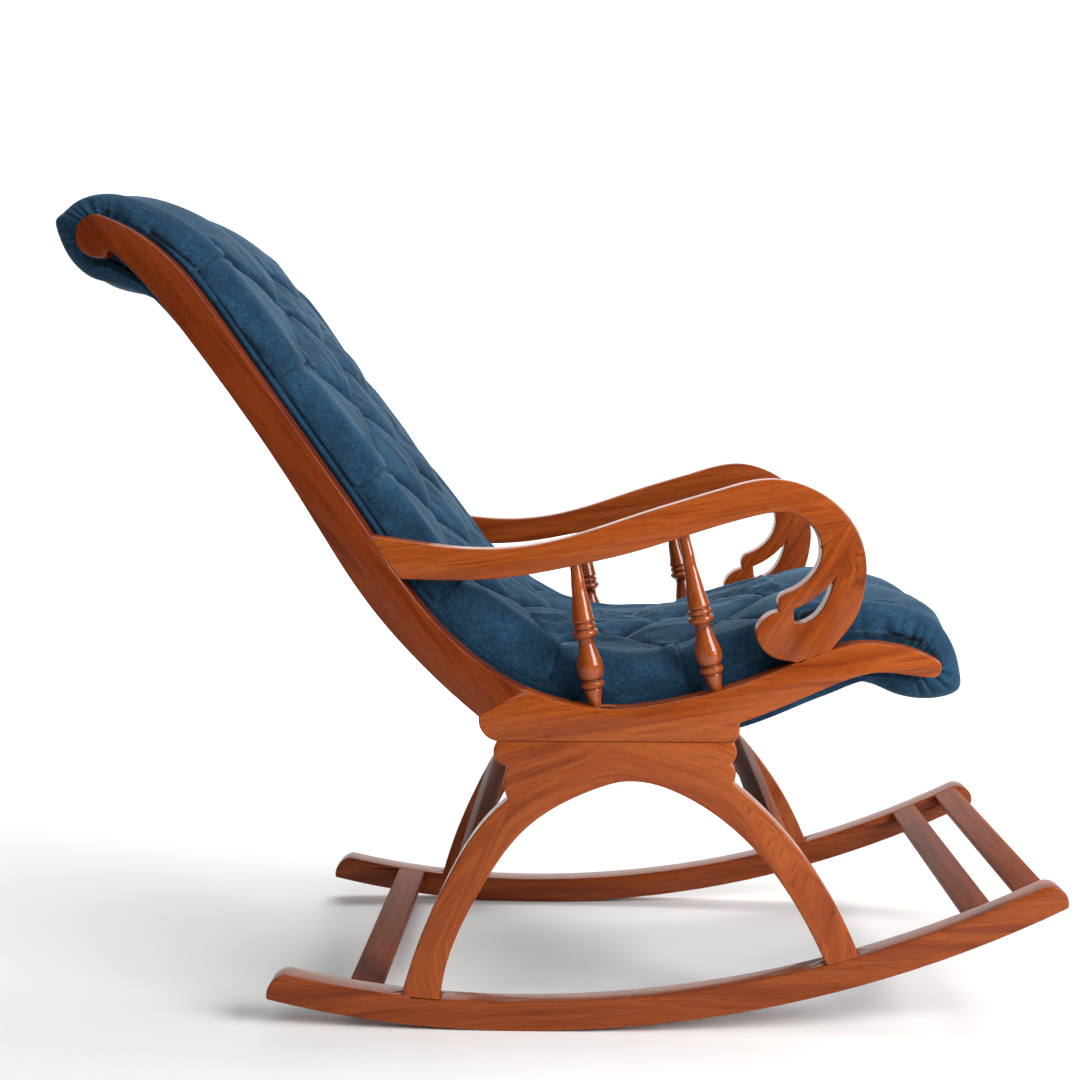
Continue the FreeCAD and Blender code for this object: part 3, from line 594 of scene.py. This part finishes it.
# One sharp fold at the corner of the head and one at the corner of the toe
for corner_station, corner_depth in ((-0.0805, 0.0045), (1.3865, 0.0040)):
    away = (station[:, None] - corner_station) / 0.0040
    gathers -= corner_depth * np.exp(-np.abs(away) ** 1.3) * np.clip(share / 0.2, 0, 1)

# Over the top: rise of the wadding between the diagonal folds, with every stitch sunk a little further
late = np.clip((np.abs(crossing) - 2 * tuft_spacing) / (top_half - 2 * tuft_spacing), 0, 1)
shifted = np.interp(station[:, None] + tuft_lag * (1 - late)[None], SEAMS, row_numbers)
over = np.clip(crossing / tuft_spacing, -2, 2)[None] / 2
p, q = shifted + over, shifted - over
outer_band = np.clip((np.abs(crossing)[None] - 2 * tuft_spacing) / 0.02, 0, 1)
side_block = 1 - 0.75 * np.exp(-behind_seam / 0.018) - 0.25 * groove
cushion = pillow(p) * pillow(q) * (1 - outer_band) + side_block * outer_band
nearness = (np.cos(np.pi * p) * np.cos(np.pi * q)) ** 2
beyond = np.abs(crossing)[None] - 2 * tuft_spacing
out_of_rows = np.clip(np.maximum(SEAMS[0] - station[:, None], station[:, None] - SEAMS[-1]), 0, 1)
stitch = nearness ** 14 * np.exp(-(np.clip(beyond, 0, 1) / 0.014) ** 2 - (out_of_rows / 0.020) ** 2)
crown = graded([(-250, 0), (-180, 2), (-100, 4), (-40, 6), (60, 12), (200, 16), (700, 17), (1000, 17),
                (1150, 14), (1300, 8), (1400, 4), (1480, 1), (1526, 0)])
crown = crown * (1 - 0.52 * np.clip((np.abs(crossing) - 0.12) / 0.08, 0, 1))[None]
fold_rise = graded([(-250, 0), (-120, 2), (60, 4), (1200, 4), (1400, 2), (1526, 0)])
camber = graded([(-250, 0), (-180, 4), (-100, 6), (-30, 9), (80, 8), (200, 3), (1100, 3), (1250, 8),
                 (1340, 8), (1400, 5), (1480, 1), (1526, 0)])
top_height = crown * cushion + fold_rise * (1 - nearness) - stitch_depth * stitch * (fold_rise / 0.004)
top_height += camber * (1 - (crossing / top_half) ** 4)[None]
edge_groove = groove * np.clip(beyond / 0.01, 0, 1)
top_height -= top_seam_depth * edge_groove

sine = np.sin(round_off)[None]
near_edge, far_edge = top_height[:, :1], top_height[:, -1:]
out_at_top = wall_out[:, -1:]
bend_out = out_at_top * np.cos(round_off)[None] - shoulder_radius * (1 - np.cos(round_off))[None]
bend_up = rise - shoulder_radius + shoulder_radius * sine
under_places = np.linspace(half_cover, -half_cover, under_columns + 2)[1:-1]
under = np.broadcast_to(under_places, (len(station), under_columns))
across = np.concatenate([-half_cover - wall_out, -half_cover - bend_out,
                         np.broadcast_to(crossing, top_height.shape), half_cover + bend_out[:, ::-1],
                         half_cover + wall_out[:, ::-1], under], 1)
height = np.concatenate([wall_height, bend_up + near_edge * sine ** 2, rise + top_height,
                         (bend_up + far_edge * sine ** 2)[:, ::-1], wall_height[:, ::-1], under * 0], 1)
points = np.stack([wood_line[:, 0, None] + lift[:, 0, None] * height + drawing_shift, across,
                   wood_line[:, 1, None] + lift[:, 1, None] * height], -1)

count_along, count_across = points.shape[:2]
walls = len(wall) + len(round_off)
outside = slice(0, count_across - under_columns)
top = slice(walls, walls + len(crossing))
held = np.zeros((count_along, count_across - under_columns))
held[:, :held_columns] = held[:, -held_columns:] = 1
held[:3] = held[-3:] = 1
held[:, top] = np.where(stitch > 0.6, 1.0, 0)
seam_hold = np.where(seam_gap < 0.0012, 0.7, 0)
held = np.maximum(held, np.where(np.abs(across[:, outside]) > 2 * tuft_spacing, seam_hold, 0))


def swell(points, held, reach):
    """Cloth pass: a coarser net through the points is blown up from inside, and the fine grid follows it.

    held is how firmly each point is stitched down, and reach is the furthest that any point may move.
    """
    run = run_of(shoulder_line)
    far = held.shape[1]
    net_rows = np.unique(np.searchsorted(run, np.arange(0, run[-1], net_spacing)))
    net_columns = np.r_[np.arange(0, held_columns, 4), np.arange(held_columns, far - held_columns, 2),
                        far - 9, far - 5, far - 1]
    net_columns = np.unique(net_columns)
    net = points[np.ix_(net_rows, net_columns)]
    rows, columns = net.shape[:2]
    mesh = bpy.data.meshes.new("net")
    mesh.from_pydata(net.reshape(-1, 3).tolist(), [], grid_faces(rows, columns))
    blown = bpy.data.objects.new("net", mesh)
    bpy.context.scene.collection.objects.link(blown)
    stitched = blown.vertex_groups.new(name="held")
    firm = np.round(held[np.ix_(net_rows, net_columns)].ravel(), 2)
    for strength in np.unique(firm[firm > 0]):
        stitched.add(np.flatnonzero(firm == strength).tolist(), float(strength), "REPLACE")
    cloth = blown.modifiers.new("swell", "CLOTH")
    cloth.settings.vertex_group_mass = "held"
    cloth.settings.quality = 6
    cloth.settings.mass = 0.25
    cloth.settings.tension_stiffness = cloth.settings.compression_stiffness = 12
    cloth.settings.shear_stiffness = 4
    cloth.settings.bending_stiffness = 0.12
    cloth.settings.shrink_min = -0.03
    cloth.settings.use_pressure = True
    cloth.settings.uniform_pressure_force = 1.5
    cloth.settings.effector_weights.gravity = 0
    cloth.point_cache.frame_start, cloth.point_cache.frame_end = 1, swell_frames
    for number in range(1, swell_frames + 1):
        bpy.context.scene.frame_set(number)
    after = np.empty(rows * columns * 3, np.float32)
    blown.evaluated_get(bpy.context.evaluated_depsgraph_get()).data.vertices.foreach_get("co", after)
    bpy.context.scene.frame_set(1)
    bpy.data.objects.remove(blown)
    move = after.reshape(net.shape) - net
    size = np.linalg.norm(move, axis=2, keepdims=True)
    move *= np.minimum(1, reach / np.maximum(size, 1e-9))
    every_row, every_column = np.arange(len(points)), np.arange(far)
    wide = np.stack([[np.interp(every_row, net_rows, move[:, j, k]) for j in range(columns)]
                     for k in range(3)])
    return np.stack([[np.interp(every_column, net_columns, wide[k, :, i]) for i in every_row]
                     for k in range(3)], -1)


# The cover is drawn tight beside the bead and where it turns under the head and the toe, so it swells less
# there
turned_ends = np.clip(np.maximum(-0.02 - station, station - 1.30) / 0.04, 0, 1)[:, None, None]
free_wall = np.clip((wall_height - wall_start) / 0.018, 0, 1)
free_top = np.ones((count_along, held.shape[1] - 2 * len(wall)))
free = np.hstack([free_wall, free_top, free_wall[:, ::-1]])[..., None]
points[:, outside] += swell(points, held, swell_reach) * (1 - 0.7 * turned_ends) * free
side_gathers = np.hstack([gathers, gathers[:, -1:] * np.cos(round_off)])
points[:, :walls, 1] -= side_gathers
points[:, top.stop:-under_columns, 1] += side_gathers[:, ::-1]

# Creases along the diagonal folds, cut into the swollen cover, and the painted shade that darkens the cloth
# along them
to_fold = np.minimum(np.abs(p - np.round(p)), np.abs(q - np.round(q))) * tuft_pitch + 0.02 * outer_band
padded_here = np.clip(crown / 0.010, 0, 1)
painted_fold_shade = np.zeros((count_along, count_across))
painted_fold_shade[:, top] = np.exp(-(to_fold / fold_shade_width) ** 2) * padded_here
crease = crease_depth * np.exp(-(to_fold / crease_width) ** 2) * padded_here
points[:, top, 0] -= lift[:, 0, None] * crease
points[:, top, 2] -= lift[:, 1, None] * crease


def cloth_mesh(name, points, faces, down, across):
    """Smooth mesh of a grid of points, whose UV is how far down and across the flat cloth each point lies."""
    mesh = bpy.data.meshes.new(name)
    mesh.from_pydata(points.reshape(-1, 3).tolist(), [], faces)
    corner = np.empty(len(mesh.loops), np.int32)
    mesh.loops.foreach_get("vertex_index", corner)
    flat = np.stack([down[corner // len(across)], across[corner % len(across)]], 1)
    mesh.uv_layers.new(name="cloth").data.foreach_set("uv", flat.astype(np.float32).ravel())
    mesh.shade_smooth()
    return mesh


faces = grid_faces(count_along, count_across, closed=True)
last_row = (count_along - 1) * count_across
faces += [list(range(count_across))[::-1], list(range(last_row, last_row + count_across))]
mesh = cloth_mesh("cover", points, faces, run_of(shoulder_line), run_of(points[count_along // 2]))
store(mesh, "painted_fold_shade", "FLOAT", painted_fold_shade)

# Deep blue velvet with a short crushed nap. The nap lies in patches 3 to 20 mm wide that turn lighter or
# darker, the ground's threads make faint rows both ways, drawn 1.4 mm apart so that they show, and the pile
# is lighter at grazing angles. Painted shade darkens the cloth along the diagonal folds of the cover.
velvet, tree, shader = material("blue velvet")
place = node(tree, "ShaderNodeUVMap", uv_map="cloth").outputs["UV"]


def nap(along_scale, across_scale, detail, roughness=0.6):
    """Noise on the cloth with the given number of features per metre along and across it."""
    spread = node(tree, "ShaderNodeMapping", [("Vector", place)], Scale=(along_scale, across_scale, 1.0))
    return node(tree, "ShaderNodeTexNoise", [("Vector", spread.outputs["Vector"])], Scale=1.0, Detail=detail,
                Roughness=roughness).outputs["Fac"]


patches = nap(14.0, 17.0, 6.0, 0.75)
warp = nap(150.0, 720.0, 2.0)
weft = nap(720.0, 150.0, 2.0)
blue = ramp(tree, patches, [(0.28, "#13334a"), (0.50, "#1d435d"), (0.72, "#2d5977")])
blue = blend("MULTIPLY", blue, ramp(tree, warp, [(0.34, "#7d8e99"), (0.62, "#ffffff")]), 0.7)
blue = blend("MULTIPLY", blue, ramp(tree, weft, [(0.34, "#7d8e99"), (0.62, "#ffffff")]), 0.7)
# Painted shade: the cloth is darkened towards #333d46 along the diagonal folds
painted_fold_shade_mask = node(tree, "ShaderNodeAttribute", attribute_name="painted_fold_shade").outputs["Fac"]
blue = blend("MULTIPLY", blue, ramp(tree, painted_fold_shade_mask, [(0.0, "#ffffff"), (1.0, "#333d46")]), 1.0)
tree.links.new(blue, shader.inputs["Base Color"])
shader.inputs["Roughness"].default_value = 0.9
shader.inputs["Specular IOR Level"].default_value = 0.2
shader.inputs["Sheen Weight"].default_value = 0.30
shader.inputs["Sheen Roughness"].default_value = 0.42
shader.inputs["Sheen Tint"].default_value = linear("#8fafc6")
weave = node(tree, "ShaderNodeMath", [(0, warp), (1, weft)], operation="ADD")
relief = node(tree, "ShaderNodeBump", [("Height", weave.outputs["Value"])], Strength=0.35, Distance=0.0006)
relief = node(tree, "ShaderNodeBump", [("Height", patches), ("Normal", relief.outputs["Normal"])],
              Strength=0.25, Distance=0.002)
tree.links.new(relief.outputs["Normal"], shader.inputs["Normal"])
cover = show("tufted_cover", mesh, velvet, ["head_roll", "back_pad", "seat_pad", "toe_roll"])

# Linings
# The same velvet without wadding, stretched over the bars behind the back and under the seat. Its edges are
# turned up 18 mm between the cloth and the rails, and it is a little wavy between one bar and the next.
lining_rows_apart = 0.009
lining_columns = 58
lining_flat = 0.256
cloth_thickness = 0.0013
wave = 0.0008
UV_apart = 3.0


def lining(name, levels, flare):
    """Sheet at rail(s) + outward(s) x (level(s) + wave sin(29 s) cos(9 y)), edges turned up at both rails.

    levels pairs stations with heights over the rail line in mm, and flare is how far the turned edge leans
    out.
    """
    table = np.array(levels) / 1000
    s = np.linspace(table[0, 0], table[-1, 0], int((table[-1, 0] - table[0, 0]) / lining_rows_apart))
    level = np.interp(s, table[:, 0], table[:, 1])[:, None]
    base = np.stack([np.interp(s, rail_station, rail[:, k]) for k in (0, 1)], 1)
    out = np.stack([np.interp(s, rail_station, rail_out[:, k]) for k in (0, 1)], 1)
    edge = np.array([0.018, 0.014, 0.010, 0.006, 0.003, 0.0012, 0.0003])
    ends = np.clip((table[-1, 0] - s) / 0.06, 0, 1)[:, None]
    turn_in = np.array([0, 0, 0, 0, 0, 0.0008, 0.0022])
    flat = np.linspace(-lining_flat, lining_flat, lining_columns)
    side = half_cover + flare * ends * np.clip((0.018 - edge) / 0.005, 0, 1) - turn_in
    y = np.concatenate([-side, np.broadcast_to(flat, (len(s), len(flat))), side[:, ::-1]], 1)
    lift_up = np.concatenate([edge, 0 * flat, edge[::-1]])
    ripple = wave * np.sin(29 * s)[:, None] * np.cos(9 * y) * (lift_up == 0)[None]
    h = level + lift_up[None] + ripple
    grid = np.stack([base[:, 0, None] + out[:, 0, None] * h + drawing_shift, y,
                     base[:, 1, None] + out[:, 1, None] * h], -1)
    rows, columns = h.shape
    faces = [[a, d, c, b] for a, b, c, d in grid_faces(rows, columns)]
    run_across = run_of(grid[rows // 2])
    mesh = cloth_mesh(name, grid, faces, run_of(base) + UV_apart, run_across)
    sheet = show(name + "_cloth", mesh, velvet, [name])
    thickness = sheet.modifiers.new("thickness", "SOLIDIFY")
    thickness.thickness = cloth_thickness
    thickness.offset = 1.0


lining("back_lining", [(62.5, -55.2), (268.75, -45.2), (722.5, -45.2)], 0.0)
lining("seat_lining", [(722.5, -45.2), (846.25, -45.2), (970, -57.2), (1150, -57.2), (1217.5, -52.5)], 0.0035)

# Studio
# Pale seamless floor and wall, a large soft key above and in front of the chair, weaker fill from the side of
# the camera and from above, and a light on the wall behind.
wall_turn_radius = 1.2
wall_near = 2.6
floor_width = 7.0
studio, tree, shader = material("seamless paper")
shader.inputs["Base Color"].default_value = linear("#f1f1f0")
shader.inputs["Roughness"].default_value = 0.9
turn = np.linspace(0, np.pi / 2, 24)
corner = np.stack([wall_near + wall_turn_radius * np.sin(turn),
                   wall_turn_radius - wall_turn_radius * np.cos(turn)], 1)
sweep = np.concatenate([[(-6.0, 0.0)], corner, [(wall_near + wall_turn_radius, 5.0)]])
sheet = [(x, y, z) for y, z in sweep for x in (-floor_width, floor_width)]
mesh = bpy.data.meshes.new("seamless_paper")
mesh.from_pydata(sheet, [], [(2 * i, 2 * i + 1, 2 * i + 3, 2 * i + 2) for i in range(len(sweep) - 1)])
mesh.shade_smooth()
mesh.materials.append(studio)
paper = bpy.data.objects.new("seamless_paper", mesh)
bpy.context.scene.collection.objects.link(paper)

world = bpy.data.worlds.new("studio")
world.use_nodes = True
world.node_tree.nodes["Background"].inputs["Color"].default_value = linear("#ffffff")
world.node_tree.nodes["Background"].inputs["Strength"].default_value = 0.10
bpy.context.scene.world = world


def softbox(name, place, aim, size, power):
    """Square area light that points at a place."""
    lamp = bpy.data.lights.new(name, "AREA")
    lamp.size = size
    lamp.energy = power
    lit = bpy.data.objects.new(name, lamp)
    lit.location = place
    view = np.array(aim) - np.array(place)
    pitch = math.atan2(math.hypot(view[0], view[1]), -view[2])
    lit.rotation_euler = (pitch, 0, math.atan2(view[1], view[0]) - math.pi / 2)
    bpy.context.scene.collection.objects.link(lit)


softbox("key", (2.5, -1.95, 1.8), (0.1, 0.0, 0.45), 1.8, 160)
softbox("fill", (-1.0, -2.8, 3.0), (0.0, 0.0, 0.5), 1.6, 24)
softbox("top", (0.3, 0.2, 3.0), (0.0, 0.0, 0.4), 2.2, 44)
softbox("backdrop", (0.0, 1.9, 2.9), (-0.3, 3.6, 0.9), 2.4, 105)

camera = bpy.data.cameras.new("photo_view")
camera.sensor_width = 36
camera.lens = 58.23
seen = bpy.data.objects.new("photo_view", camera)
seen.location = (0.0527, -2.4, 0.7707)
seen.rotation_euler = (math.radians(90 - 4.416), 0, math.radians(2.065))
bpy.context.scene.collection.objects.link(seen)
bpy.context.scene.camera = seen
bpy.context.scene.view_settings.view_transform = "Standard"
